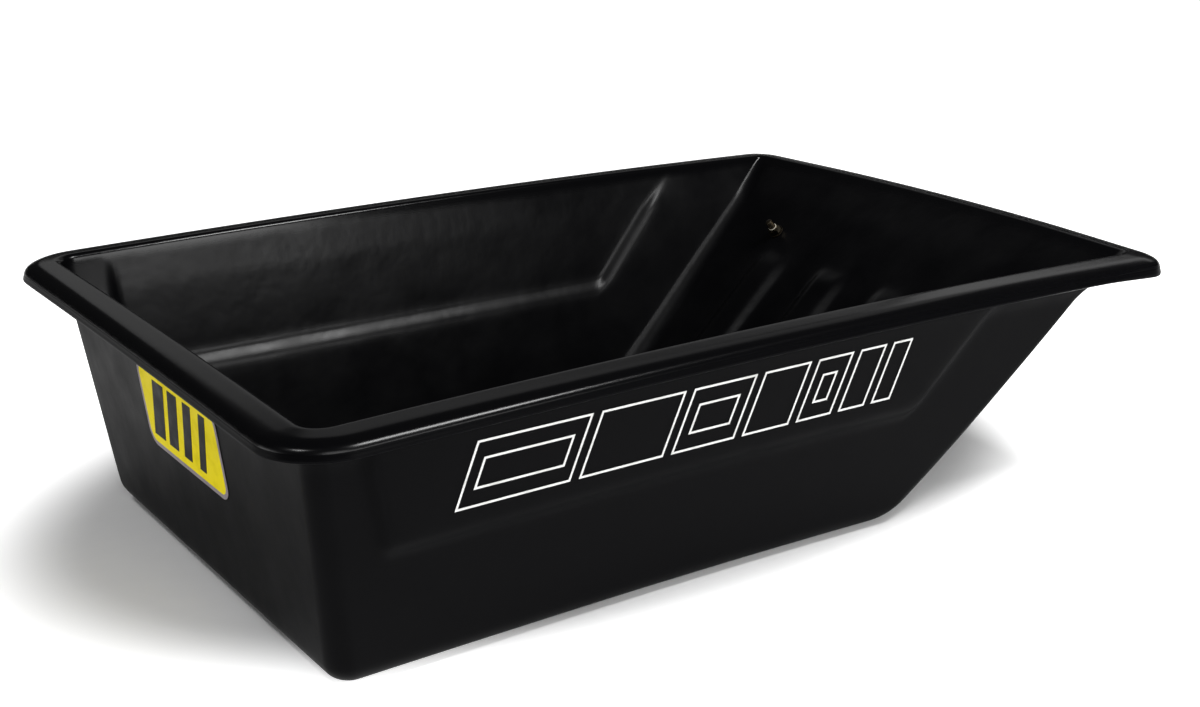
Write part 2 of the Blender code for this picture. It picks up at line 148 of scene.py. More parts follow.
# %% Panels and ribs
# A ROUND is how far an edge's round reaches past the edge, and an EASE how proud the sheet stands there.
PANEL_DEPTH, PANEL_LEDGE, LEDGE_RISE = 0.0090, 0.1196, 0.0145
PANEL_MARGIN_LOW = {STERN: 0.0565, BOW: 0.1440}
PANEL_MARGIN_TOP = {STERN: 0.0432, BOW: 0.1605}
PANEL_FLANK = {STERN: 0.010, BOW: 0.011}
FLANK_ROUND, FLANK_EASE = {STERN: 0.0020, BOW: 0.0025}, 0.20
LEDGE_ROUND_OUT, LEDGE_ROUND_IN, LEDGE_EASE = 0.0030, 0.0035, 0.14
RIB_CENTRES, RIB_SPACING = (-0.150, -0.050, 0.050, 0.150), 0.100
RIB_BASE, RIB_CROWN, RIB_RISE = 0.050, 0.029, 0.007
RIB_ROUND_OUT, RIB_ROUND_IN, RIB_EASE = 0.003, 0.001, 0.16
RIB_START, RIB_START_RUN, RIB_TOP = -0.375, 0.025, 0.168
RIB_FADE = ((0.0205, 1.0), (0.015, 0.85), (0.005, 0.15))

# %% [markdown]
# ### One line of the tub
# Every line round the tub is known by how far out and how high it runs on each kind of wall, and by how round
# its corners are. Three small recipes give the lines of the fillet, the wall and the rim.

# %% The three kinds of line
def line(out, up, corner, panel=0.0, rib=0.0, lip=0.0):
    return {"out": out, "up": up, "corner": corner, "panel": panel, "rib": rib, "lip": lip}


def mixed(low, high, share):
    return {key: low[key] * (1 - share) + high[key] * share for key in low}


def fillet_line(share):
    """Part of the way round the fillet between floor and wall."""
    out, up = {}, {}
    for wall, radius in FILLET.items():
        turn = pi / 2 - atan(LEAN[wall])
        out[wall] = FLOOR[wall] + radius * (sin(turn * share) - tan(turn / 2))
        up[wall] = radius * (1 - cos(turn * share))
    opened = CORNER_START + (1 - CORNER_START) * sin(share * pi / 2)
    return line(out, up, {end: radius * opened for end, radius in CORNER_AT_FLOOR.items()}, rib=1.0)


def wall_line(height, panel=0.0, rib=0.0):
    out = {wall: FLOOR[wall] + LEAN[wall] * height for wall in FLOOR}
    corner = mixed(CORNER_AT_FLOOR, CORNER_AT_WALL_TOP, min(height / WALL_TOP, 1.0))
    return line(out, dict.fromkeys(FLOOR, height), corner, panel, rib)


def rim_line(inset, rise, lip=0.0):
    """This far in from the lip's face, and above the top of the shoulder."""
    share = min(max(inset / (FLANGE + EDGE_RADIUS - SHEET), 0.0), 1.0)
    out = {wall: OUTER[wall] - inset for wall in OUTER}
    corner = mixed(CORNER_AT_RIM, RIM_EDGE_CORNER, share)
    return line(out, dict.fromkeys(OUTER, RIM_HEIGHT + rise), corner, lip=lip)


# %% All lines, from the floor's edge to the lip's free edge
def blended_line(low, high, share, panel):
    made = {part: mixed(low[part], high[part], share) for part in ("out", "up", "corner")}
    return line(made["out"], made["up"], made["corner"], panel)


PLAIN_WALL, HIGH_WALL = (0.060, 0.085, 0.108), 0.188
FLARE_ROUND, FLARE_END, FLARE_SHARES = 0.004, 0.003, (0.0, 0.33, 0.67, 1.0)
FILLET_STEPS, ROLL_STEPS, SHOULDER_STEPS = 8, 5, 6
tub_lines = [fillet_line(step / FILLET_STEPS) for step in range(FILLET_STEPS + 1)]
tub_lines += [wall_line(height, rib=1.0) for height in PLAIN_WALL]
for along, raised in ((-LEDGE_ROUND_OUT, 0.0), (LEDGE_ROUND_IN, LEDGE_EASE),
                      (LEDGE_RISE - LEDGE_ROUND_IN, 1 - LEDGE_EASE), (LEDGE_RISE + LEDGE_ROUND_OUT, 1.0)):
    tub_lines.append(wall_line(PANEL_LEDGE + along, raised, 1.0))
tub_lines += [wall_line(RIB_TOP - below, 1.0, rib) for below, rib in RIB_FADE]
tub_lines += [wall_line(height, 1.0) for height in (RIB_TOP, HIGH_WALL, WALL_TOP - FLARE_ROUND)]

inner_edge = EDGE_RADIUS - SHEET


def roll_line(share, below=0.0):
    """Part of the way round the inner edge, from the lean of the wall to level."""
    row, centre = rim_line(FLANGE, 0.0), RIM_HEIGHT + FLANGE_RISE - EDGE_RADIUS
    for wall, start in EDGE_START.items():
        angle = start * (1 - share) + pi / 2 * share
        row["out"][wall] -= inner_edge * cos(angle) + below * tan(start)
        row["up"][wall] = centre + inner_edge * sin(angle) - below
    return row


flare_low, flare_high = wall_line(WALL_TOP + FLARE_ROUND, 1.0), roll_line(0.0, FLARE_END)
for share in FLARE_SHARES:
    tub_lines.append(blended_line(flare_low, flare_high, share, 1.0 - share))
for step in range(ROLL_STEPS + 1):
    tub_lines.append(roll_line(step / ROLL_STEPS))
shoulder, tip = SHOULDER - SHEET, pi / 2 + FLANGE_TIP
flange_end, flange_fall = SHOULDER + shoulder * cos(tip), shoulder * sin(tip) - SHOULDER
run, drop = FLANGE - flange_end, FLANGE_RISE - SHEET - flange_fall
roll = (1 - FLANGE_FLAT) / 2
tilt = (drop / run - roll * tan(FLANGE_TIP)) / (1 - roll)
for share in FLANGE_LINES:
    rolled = max(share - FLANGE_FLAT, 0.0) ** 2 / (4 * roll)
    fall = run * (tilt * share + (tan(FLANGE_TIP) - tilt) * rolled)
    tub_lines.append(rim_line(FLANGE - run * share, FLANGE_RISE - SHEET - fall))
print("the flange falls outward at", round(degrees(atan(tilt)), 1), "degrees, then rolls over")
for step in range(SHOULDER_STEPS + 1):
    angle = tip + (pi - tip) * step / SHOULDER_STEPS
    tub_lines.append(rim_line(SHOULDER + shoulder * cos(angle), shoulder * sin(angle) - SHOULDER))
lip = LIP_DROP + LIP_FLICK - SHOULDER
for share in (0.5, 1.0):
    tub_lines.append(rim_line(SHEET - LIP_FLICK * share, -SHOULDER - lip * share, share))
print(len(tub_lines), "lines")


# %% [markdown]
# ### Points along a line
# The grid's border has the same number of points on every line: the columns. On the sides they keep to the
# edges of the raised panel, and on the bow to the feet and crowns of the ribs. After that the whole line
# settles: the sides draw in at the waist, the bow arches and the ends sink a little, as a cooling sheet does.

# %% Columns of the sides and ends
CORNER_STEPS, PANEL_STEPS, STERN_STEPS, BOW_STEPS = 12, 22, 3, 6


def panel_columns(height):
    """X of the panel's flanks and of the columns between them, at this height."""
    share = (height - PANEL_LEDGE) / (RIM_HEIGHT - PANEL_LEDGE)
    stern = -FLOOR[STERN] - LEAN[STERN] * height
    stern += PANEL_MARGIN_LOW[STERN] * (1 - share) + PANEL_MARGIN_TOP[STERN] * share
    bow = FLOOR[BOW] + LEAN[BOW] * height
    bow -= PANEL_MARGIN_LOW[BOW] * (1 - share) + PANEL_MARGIN_TOP[BOW] * share
    aft, fore = PANEL_FLANK[STERN] / 2, PANEL_FLANK[BOW] / 2
    first, last = stern + aft + FLANK_ROUND[STERN], bow - fore - FLANK_ROUND[BOW]
    inside = [first + (last - first) * step / PANEL_STEPS for step in range(PANEL_STEPS + 1)]
    stern_side = [stern - aft - FLANK_ROUND[STERN], stern - aft / 2, stern + aft / 2]
    return stern_side, inside, [bow - fore / 2, bow + fore / 2, bow + fore + FLANK_ROUND[BOW]]


def side_columns(row):
    """X and how far the panel stands out, for every column of a side, stern to bow, corners left out."""
    height = min(max(row["up"][SIDE], PANEL_LEDGE), WALL_TOP)
    level = wall_line(height)
    low, high = -level["out"][STERN] + level["corner"][STERN], level["out"][BOW] - level["corner"][BOW]
    stern_side, inside, bow_side = panel_columns(height)
    before = [low + (stern_side[0] - low) * step / STERN_STEPS for step in range(1, STERN_STEPS)]
    after = [bow_side[2] + (high - bow_side[2]) * step / BOW_STEPS for step in range(1, BOW_STEPS)]
    rising = (0.0, FLANK_EASE, 1 - FLANK_EASE)
    columns = [(x, 0.0) for x in before] + list(zip(stern_side, rising)) + [(x, 1.0) for x in inside]
    columns += list(zip(bow_side, reversed(rising))) + [(x, 0.0) for x in after]
    start, stop = -row["out"][STERN] + row["corner"][STERN], row["out"][BOW] - row["corner"][BOW]
    shares = [((x - low) / (high - low), raised) for x, raised in columns]
    return [(start + (stop - start) * share, raised) for share, raised in shares]


def end_columns():
    """Y and how proud the rib stands, for every column of an end, right to left."""
    columns = []
    foot, crown = RIB_BASE / 2, RIB_CROWN / 2
    half = ((-foot - RIB_ROUND_OUT, 0.0), (-foot + RIB_ROUND_IN, RIB_EASE),
            (-crown - RIB_ROUND_IN, 1 - RIB_EASE), (-crown + RIB_ROUND_OUT, 1.0))
    for centre in RIB_CENTRES:
        columns += [(centre + y, proud) for y, proud in half] + [(centre, 1.0)]
        columns += [(centre - y, proud) for y, proud in reversed(half)]
        if centre < RIB_CENTRES[-1]:
            columns.append((centre + RIB_SPACING / 2, 0.0))
    return columns


print(len(side_columns(wall_line(0.15))), "columns on a side,", len(end_columns()), "on an end")


# %% How the sheet settles
# The waist is a parabola along each side, narrowest at WAIST_FLOOR_AT on the floor and at WAIST_RIM_AT at the
# rim. The arches, the hollow, the rise and the drop are in metres where they are greatest.
WAIST_FLOOR, WAIST_FLOOR_AT, WAIST_RIM, WAIST_RIM_AT = 0.0745, -0.067, 0.0103, 0.147
BOW_ARCH_FLOOR, BOW_ARCH_RIM, STERN_HOLLOW = 0.0119, 0.0251, 0.0032
STERN_RISE, STERN_RISE_START, END_DROP = 0.0018, 0.200, 0.0066


def half_width(row, x):
    """Half the width at this x: the sides draw in towards the waist, more at the floor than at the rim."""
    share = min(row["up"][SIDE] / RIM_HEIGHT, 1.0)
    at_floor = WAIST_FLOOR * (x - WAIST_FLOOR_AT) ** 2
    at_rim = WAIST_RIM * (x - WAIST_RIM_AT) ** 2
    return row["out"][SIDE] + at_floor * (1 - share) + at_rim * share


def settle(x, y, z):
    """The arch of the bow, the slight hollow of the stern, and the lie of both ends."""
    share = min(z / RIM_HEIGHT, 1.0)
    arch = BOW_ARCH_FLOOR * (1 - share) + BOW_ARCH_RIM * share if x > 0 else STERN_HOLLOW * share
    along, across = x / (LENGTH / 2), y / (WIDTH / 2)
    aft = max(-x - STERN_RISE_START, 0.0) / (FLOOR[STERN] - STERN_RISE_START)
    return Vector((x - arch * along ** 2 * across ** 2, y,
                   z + STERN_RISE * (1 - share) * aft ** 2 - END_DROP * share * along ** 2))


# %% Corners, ribs and a whole line
def corner_arc(row, end, across):
    """Points round one corner, from the side to the end wall, both ends of the arc included."""
    radius, forward = row["corner"][end], 1 if end == BOW else -1
    centre_x = forward * (row["out"][end] - radius)
    centre_y = half_width(row, centre_x) - radius
    points = []
    for step in range(CORNER_STEPS + 1):
        angle = pi / 2 * step / CORNER_STEPS
        share = sin(angle) ** 2
        height = row["up"][SIDE] * (1 - share) + row["up"][end] * share
        x, y = centre_x + forward * radius * sin(angle), centre_y + radius * cos(angle)
        points.append((x, across * y, height))
    return points


def rib_lift(row):
    """Where a rib's crown lies from the plain bow on this line: square to the bow, into the tub."""
    lean = atan(LEAN[BOW])
    turned = lean
    if row["up"][BOW] < FILLET[BOW] * (1 - sin(lean)):
        turned = asin(min(max(1 - row["up"][BOW] / FILLET[BOW], 0.0), 1.0))
    return Vector((-cos(turned), 0.0, sin(turned))) * RIB_RISE * row["rib"]


def line_points(row):
    """The line as a closed loop, anticlockwise from above, from the middle of the right stern corner."""
    sides = side_columns(row)
    depth = PANEL_DEPTH * row["panel"]
    right = [(x, -half_width(row, x) - depth * raised, row["up"][SIDE]) for x, raised in sides]
    left = [(x, -y, z) for x, y, z in reversed(right)]
    lift, out, up = rib_lift(row), row["out"][BOW], row["up"][BOW]
    bow = [(out + lift.x * proud, y, up + lift.z * proud) for y, proud in end_columns()]
    stern = [(-row["out"][STERN], y, row["up"][STERN]) for y, proud in reversed(end_columns())]
    loop = list(reversed(corner_arc(row, STERN, -1))) + right + corner_arc(row, BOW, -1) + bow
    loop += list(reversed(corner_arc(row, BOW, 1))) + left + corner_arc(row, STERN, 1) + stern
    half = CORNER_STEPS // 2
    loop = loop[half:] + loop[:half]
    shares = [min(max((x - LIP_BOW_START) / LIP_BOW_RUN, 0.0), 1.0) for x, y, z in loop]
    return [settle(x, y, z - LIP_BOW_DROP * share * row["lip"]) for (x, y, z), share in zip(loop, shares)]


print(len(line_points(tub_lines[0])), "points on a line")


# %% [markdown]
# ### Floor first
# The floor is a grid primitive with as many squares each way as the first line needs. Its border goes onto
# that line, the inner points are spread between the borders, and the four ribs are lifted out of it.

# %% Grid for the floor
ALONG = len(side_columns(tub_lines[0])) + CORNER_STEPS + 1
ACROSS = len(end_columns()) + CORNER_STEPS + 1
bpy.ops.object.select_all(action="DESELECT")
bpy.ops.mesh.primitive_grid_add(x_subdivisions=ALONG, y_subdivisions=ACROSS, size=1.0)
tub = fresh("tub")
print(tub.name, "starts as", len(tub.data.polygons), "squares")


# %% The border onto the first line, the rest between
def rib_start(x):
    """The ribs rise out of the floor behind their stern ends."""
    share = min(max((x - RIB_START) / RIB_START_RUN + 0.5, 0.0), 1.0)
    return share * share * (3 - 2 * share)


def between(first, second, share):
    return first * (1 - share) + second * share


border = line_points(tub_lines[0])
right, bow = border[:ALONG + 1], border[ALONG:ALONG + ACROSS + 1]
left = list(reversed(border[ALONG + ACROSS:2 * ALONG + ACROSS + 1]))
stern = list(reversed(border[2 * ALONG + ACROSS:] + border[:1]))
rib_heights = {round(y, 4): proud for y, proud in end_columns()}
mesh = editing()
for vertex in mesh.verts:
    i, j = round((vertex.co.x + 0.5) * ALONG), round((vertex.co.y + 0.5) * ACROSS)
    u, v = i / ALONG, j / ACROSS
    place = between(right[i], left[i], v) + between(stern[j], bow[j], u)
    place -= between(between(right[0], right[-1], u), between(left[0], left[-1], u), v)
    if 0 < i < ALONG and 0 < j < ACROSS:
        inner = (stern[j].y + bow[j].y) / 2
        place.y = inner if CORNER_STEPS // 2 < j < ACROSS - CORNER_STEPS // 2 else place.y
        place.z += RIB_RISE * rib_heights.get(round(inner, 4), 0.0) * rib_start(place.x)
    vertex.co = place
done()
report(tub)

# %% [markdown]
# ### Walls, rim and lip
# Each pass extrudes the open border by one line and sets the new points on it. The points are paired with the
# old ones through the edges that the extrusion makes, so the columns run up the wall unbroken.

# %% Extrude line by line
mesh = editing()
keys = {}
for index, point in enumerate(border):
    nearest = min((v for v in mesh.verts if v.is_boundary), key=lambda v: (v.co - point).length)
    keys[nearest.index] = index
for edge in mesh.edges:
    edge.select = edge.is_boundary
bmesh.update_edit_mesh(tub.data)
for row in tub_lines[1:]:
    bpy.ops.mesh.extrude_edges_move(TRANSFORM_OT_translate={"value": (0.0, 0.0, 0.01)})
    mesh = bmesh.from_edit_mesh(tub.data)
    mesh.verts.ensure_lookup_table()
    points, carried = line_points(row), {}
    for vertex in (v for v in mesh.verts if v.select):
        old = next(e.other_vert(vertex) for e in vertex.link_edges if not e.other_vert(vertex).select)
        carried[vertex.index] = keys[old.index]
        vertex.co = points[keys[old.index]]
    keys = carried
    bmesh.update_edit_mesh(tub.data)
done()
report(tub)

# %% [markdown]
# ### From a surface to a sheet
# Normals are made to agree before the sheet gets its thickness, which grows inwards, away from the floor it
# stands on. One level of subdivision then rounds every line a little more, so the gloss flows over it.

# %% Thickness and smoothing
editing("SELECT")
bpy.ops.mesh.remove_doubles(threshold=0.00001)
done()
face_outward()
lowest = min(tub.data.polygons, key=lambda face: face.center.z)
if lowest.normal.z > 0:
    editing("SELECT")
    bpy.ops.mesh.flip_normals()
    done()
for skin in ("black_polyethylene_mould_side", "black_polyethylene_air_side"):
    tub.data.materials.append(bpy.data.materials.new(skin))
apply_modifier("SOLIDIFY", thickness=SHEET, offset=-1, use_even_offset=True, material_offset=1)
apply_modifier("SUBSURF", levels=1, render_levels=1)
report(tub)

# %% [markdown]
# ### The lip belongs to the outer skin
# The lip is rubbed and handled like the outside, so its outer face takes the outer finish. It is picked by
# where its faces look: away from the middle, and not up.

# %% Faces of the lip
LIP_FROM, LIP_LOOKS_UP = WALL_TOP + 0.010, 0.37
lip_faces = 0
for face in tub.data.polygons:
    away = face.normal.x * face.center.x / LENGTH ** 2 + face.normal.y * face.center.y / WIDTH ** 2
    if face.center.z > LIP_FROM and away > 0 and face.normal.z < LIP_LOOKS_UP:
        face.material_index, lip_faces = 0, lip_faces + 1
print(lip_faces, "faces of the lip")

# %% [markdown]
# ### Holes for the tow eyes
# Each eye goes through the bow square to it. A short cylinder stands where the shank will be, and a Boolean
# takes it out of the sheet. The washers cover the edge, so the hole needs no chamfer.

# %% Where the tow eyes sit
TOW_SPREAD, TOW_HEIGHT = 0.355, 0.1835
WIRE, EYE_BORE, HOLE_CLEARANCE, DRILL_LENGTH = 0.008, 0.020, 0.0005, 0.03
WASHER, WASHER_THICKNESS, WASHER_SEAT, SEAT = 0.018, 0.0016, 0.0005, 0.0003


def bow_frame(y):
    """A frame on the under face of the bow: local Z points out of the tub and local Y up the bow."""
    def at(across, up):
        return settle(FLOOR[BOW] + LEAN[BOW] * up, across, up)

    reach = WASHER / 2
    along = (at(y, TOW_HEIGHT + reach) - at(y, TOW_HEIGHT - reach)).normalized()
    across = (at(y + reach, TOW_HEIGHT) - at(y - reach, TOW_HEIGHT)).normalized()
    out = across.cross(along).normalized()
    out = -out if out.x < 0 else out
    turned = Matrix((along.cross(out), along, out)).transposed().to_4x4()
    turned.translation = at(y, TOW_HEIGHT)
    return turned


frames = {"left": bow_frame(TOW_SPREAD / 2), "right": bow_frame(-TOW_SPREAD / 2)}
print("tow eye at", [round(value, 4) for value in frames["left"].translation])

# %% Cut the holes
for side, place in frames.items():
    bpy.ops.object.select_all(action="DESELECT")
    bpy.ops.mesh.primitive_cylinder_add(vertices=32, radius=WIRE / 2 + HOLE_CLEARANCE, depth=DRILL_LENGTH)
    drill = fresh(f"drill_{side}")
    drill.matrix_world = place
    settle_on_origin(drill)
    only(tub)
    apply_modifier("BOOLEAN", operation="DIFFERENCE", object=drill, solver="EXACT")
    bpy.data.objects.remove(drill)
bpy.ops.object.shade_smooth_by_angle(angle=radians(40))
report(tub)
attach(tub, "root")
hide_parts("tub_shell")

# %% [markdown]
# ## Tow eyes
# A tow eye is one length of zinc-plated wire: a threaded shank, a bend, and a ring that almost closes. A
# torus with a cylinder pushed into it would show a seam and no bend. Here one round section is extruded and
# spun along the whole wire, as a bending jig leads it. The thread is a row of grooves, one for each turn:
# the section is pinched and grows again.

# %% The wire's path, in the frame on the bow
RING, RING_GAP, TIP_CLEARANCE = (EYE_BORE + WIRE) / 2, radians(24), WIRE * 0.75
BEND, BEND_TURN, RISE = 0.006, radians(60), radians(30)
THREADED, THREAD_FLANK, THREAD_ROOT, THREAD_PINCH = 0.019, 0.00042, 0.00041, 0.87
POINT_LENGTH, POINT_NARROW, WIRE_SIDES = 0.0008, 0.8, 24
NECK = SHEET + WASHER_SEAT + WASHER_THICKNESS + SEAT
TAIL = -NECK - THREADED
outer_seat = WASHER_SEAT + WASHER_THICKNESS + WIRE / 2
ring_centre = Vector((0.0, 0.0, outer_seat + RING * cos(RING_GAP) + TIP_CLEARANCE))
ring_start = ring_centre + Vector((0.0, RING / 2, -RING * cos(RISE)))
slope = Vector((0.0, cos(RISE), sin(RISE)))
straight = (ring_start.y - BEND / 2) / slope.y
bend_height = ring_start.z - straight * slope.z - BEND * cos(RISE)
print("the wire leaves the bow straight for", round(bend_height * 1000, 1), "mm, then bends")


# %% One wire
def push(move, grow=1.0):
    """Extrudes the selected section and scales its copy."""
    bpy.ops.mesh.extrude_region_move(TRANSFORM_OT_translate={"value": tuple(move)})
    if grow != 1.0:
        bpy.ops.transform.resize(value=(grow, grow, 1.0))


def close_ends():
    """Fills every open loop of the piece."""
    mesh = editing()
    for edge in mesh.edges:
        edge.select = edge.is_boundary
    bmesh.update_edit_mesh(bpy.context.object.data)
    bpy.ops.mesh.edge_face_add()
    done()
    face_outward()


def start_circle(name, sides, radius, height):
    """A circle about Z at this height, as the first section of a piece."""
    bpy.ops.object.select_all(action="DESELECT")
    bpy.ops.mesh.primitive_circle_add(vertices=sides, radius=radius, fill_type="NOTHING")
    piece = fresh(name)
    piece.location.z = height
    settle_on_origin(piece)
    editing("SELECT")
    return piece


def make_eye(name):
    eye = start_circle(name, WIRE_SIDES, WIRE / 2 * POINT_NARROW, TAIL)
    push((0, 0, POINT_LENGTH), 1 / POINT_NARROW)
    pitch = 2 * THREAD_FLANK + THREAD_ROOT
    turns = int(THREADED / pitch)
    for turn in range(turns):
        push((0, 0, THREAD_FLANK), THREAD_PINCH)
        push((0, 0, THREAD_ROOT))
        push((0, 0, THREAD_FLANK), 1 / THREAD_PINCH)
    push((0, 0, bend_height - TAIL - POINT_LENGTH - turns * pitch))
    bpy.ops.mesh.spin(steps=6, angle=BEND_TURN, center=(0, BEND, bend_height), axis=(1, 0, 0))
    push(slope * straight)
    bpy.ops.mesh.spin(steps=44, angle=2 * pi - RING_GAP - RISE, center=ring_centre, axis=(-1, 0, 0))
    done()
    return eye


metal_pieces, nylon_pieces = [], []
for side, place in frames.items():
    eye = make_eye(f"tow_eye_{side}")
    close_ends()
    eye.matrix_world = place
    settle_on_origin(eye)
    bpy.ops.object.shade_smooth_by_angle(angle=radians(50))
    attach(eye, "root")
    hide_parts(f"tow_eye_bolt_{side}")
    metal_pieces.append(eye)
    report(eye)

# %% [markdown]
# ## Washers and lock nuts
# A washer is a ring stamped from sheet, so its outline starts as a circle, grows outward and then upward, and
# a small bevel rounds the edge that the die leaves. The lock nut is a hexagon whose corners are turned off at
# nearly 30 degrees, with a collar that holds a nylon ring. Turning is done here as on a lathe: the hexagon is
# cut by a turned shape.

# %% Washer
WASHER_EDGE, WASHER_SIDES = 0.0003, 40


def make_washer(name, place, depth):
    washer = start_circle(name, WASHER_SIDES, WIRE / 2 + HOLE_CLEARANCE, 0.0)
    grow = WASHER / (WIRE + 2 * HOLE_CLEARANCE)
    bpy.ops.mesh.extrude_edges_move()
    bpy.ops.transform.resize(value=(grow, grow, 1.0))
    bpy.ops.mesh.select_all(action="SELECT")
    push((0, 0, WASHER_THICKNESS))
    done()
    face_outward()
    apply_modifier("BEVEL", width=WASHER_EDGE, segments=2, limit_method="ANGLE")
    washer.matrix_world = place @ Matrix.Translation((0, 0, depth))
    settle_on_origin(washer)
    bpy.ops.object.shade_smooth_by_angle(angle=radians(30))
    return washer


# %% Lock nut
NUT_FLATS, NUT_HEIGHT, NUT_TOP, NUT_EDGE, NUT_TURN = 0.013, 0.0065, 0.0080, 0.00015, radians(20)
CHAMFER_IN, CHAMFER_OUT, CHAMFER_RISE, PAST = 0.97, 1.02, 0.0006, 0.0001
COLLAR = ((0.0059, NUT_HEIGHT - 0.0010), (0.0059, NUT_TOP - 0.0006),
          (0.0056, NUT_TOP - 0.0002), (0.0052, NUT_TOP))
BORE_START, BORE_END = -0.01, 0.02
NYLON_OUTER, NYLON_DEPTH, NYLON_GAP = 0.0050, 0.0022, 0.00005
NYLON_GRIP, NYLON_INSET, NYLON_ROUND, NYLON_PROUD = 0.00015, 0.0001, 0.0003, 0.0002


def turned_body(name, outline, sides=48):
    """A shape turned about Z from (radius, height) pairs and closed by a flat face at each end."""
    body = start_circle(name, sides, *outline[0])
    for (radius, height), (next_radius, next_height) in zip(outline, outline[1:]):
        push((0, 0, next_height - height), next_radius / radius)
    done()
    close_ends()
    return body


def cut(piece, operation, tool):
    only(piece)
    apply_modifier("BOOLEAN", operation=operation, object=tool, solver="EXACT")
    bpy.data.objects.remove(tool)


def drill_out(piece, radius, start=BORE_START):
    cut(piece, "DIFFERENCE", turned_body("bore", ((radius, start), (radius, BORE_END))))


def make_nut(name, place, depth):
    corner = NUT_FLATS / sqrt(3)
    nut = turned_body(name, ((corner, 0.0), (corner, NUT_HEIGHT)), sides=6)
    narrow, wide = NUT_FLATS / 2 * CHAMFER_IN, corner * CHAMFER_OUT
    chamfer = ((narrow, -PAST), (wide, CHAMFER_RISE),
               (wide, NUT_HEIGHT - CHAMFER_RISE), (narrow, NUT_HEIGHT + PAST))
    cut(nut, "INTERSECT", turned_body("chamfer", chamfer))
    cut(nut, "UNION", turned_body("collar", COLLAR))
    drill_out(nut, WIRE / 2 + SEAT)
    drill_out(nut, NYLON_OUTER + NYLON_GAP, NUT_TOP - NYLON_DEPTH)
    apply_modifier("BEVEL", width=NUT_EDGE, segments=1, limit_method="ANGLE", angle_limit=radians(25))
    set_facing_in(nut, place, depth)
    return nut


def set_facing_in(piece, place, depth):
    """Turns a piece that was drawn upwards to face into the tub, and sets it this deep."""
    turned = Matrix.Rotation(pi, 4, "X") @ Matrix.Rotation(NUT_TURN, 4, "Z")
    piece.matrix_world = place @ Matrix.Translation((0, 0, depth)) @ turned
    settle_on_origin(piece)
    bpy.ops.object.shade_smooth_by_angle(angle=radians(30))


def make_nylon_ring(name, place, depth):
    """The ring that grips the thread: it stands a little proud of the collar that is pressed over it."""
    low, high = NUT_TOP - NYLON_DEPTH + NYLON_INSET, NUT_TOP - NYLON_INSET
    outline = ((NYLON_OUTER, low), (NYLON_OUTER, high), (NYLON_OUTER - NYLON_ROUND, NUT_TOP + NYLON_PROUD))
    ring = turned_body(name, outline)
    drill_out(ring, WIRE / 2 + NYLON_GRIP)
    set_facing_in(ring, place, depth)
    return ring


# %% Set them on both eyes
inner_seat = -SHEET - WASHER_SEAT - WASHER_THICKNESS
for side, place in frames.items():
    outer = make_washer(f"outer_washer_{side}", place, WASHER_SEAT)
    inner = make_washer(f"inner_washer_{side}", place, inner_seat)
    nut = make_nut(f"lock_nut_{side}", place, inner_seat - SEAT)
    for piece, node in ((outer, "tow_washer_outer"), (inner, "tow_washer_inner"), (nut, "tow_lock_nut")):
        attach(piece, "root")
        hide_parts(f"{node}_{side}")
        report(piece)
        metal_pieces.append(piece)
    ring = make_nylon_ring(f"nylon_ring_{side}", place, inner_seat - SEAT)
    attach(ring, "root")
    nylon_pieces.append(ring)
    report(ring)

# %% [markdown]
# ## Stickers
# Each sticker is cut vinyl, a few tenths of a millimetre thick, that follows the wall. It is drawn flat in
# front of the wall, pressed onto it with a Shrinkwrap along one axis, and thickened. Drawing it straight on
# the curved panel would bend its edges. The sides carry a row of slanted outlined bars that get narrower
# towards the bow, and the stern a rounded label with bars across it.

# %% Flat shapes pressed onto the tub
FILM, FILM_LIFT = 0.00035, 0.0004
SIDE_PLANE, STERN_PLANE = 0.40, -0.60


def flat_shape(name, corners):
    """A four-sided face with these corners."""
    bpy.ops.object.select_all(action="DESELECT")
    bpy.ops.mesh.primitive_plane_add(size=1.0)
    shape = fresh(name)
    mesh = editing()
    order = sorted(mesh.verts, key=lambda vertex: atan2(vertex.co.y, vertex.co.x))
    for vertex, corner in zip(order, corners):
        vertex.co = corner
    done()
    return shape


def press_on(piece, axis, towards, lift):
    """Presses a flat shape onto the tub along this axis and gives it the film's thickness."""
    only(piece)
    settings = {f"use_project_{axis}": True, "use_negative_direction": towards < 0,
                "use_positive_direction": towards > 0}
    apply_modifier("SHRINKWRAP", target=tub, wrap_method="PROJECT", offset=lift, **settings)
    face_outward()
    outward = -towards * piece.data.polygons[0].normal["xyz".index(axis)]
    apply_modifier("SOLIDIFY", thickness=FILM, offset=1 if outward > 0 else -1)
    face_outward()


# %% Outlined bars on the sides
STRIP_STERN, STRIP_LOW, STRIP_HIGH, STRIP_SLANT = -0.337, 0.150, 0.210, 0.30
STROKE, BAR_GAP, INNER_IN, INNER_UP = 0.0020, 0.009, 0.012, 0.016
BARS = ((0.112, True), (0.088, False), (0.070, True), (0.054, False),
        (0.042, True), (0.032, False), (0.024, False))


def outlined_bar(name, x, width, low, high, y):
    lean = STRIP_SLANT * (high - low)
    start = x + STRIP_SLANT * (low - STRIP_LOW)
    end = start + width
    bar = flat_shape(name, ((start, y, low), (end, y, low), (end + lean, y, high), (start + lean, y, high)))
    editing("SELECT")
    bpy.ops.mesh.inset(thickness=STROKE, use_even_offset=True)
    bpy.ops.mesh.delete(type="FACE")
    bpy.ops.mesh.select_all(action="SELECT")
    bpy.ops.mesh.subdivide(number_cuts=7)
    done()
    return bar


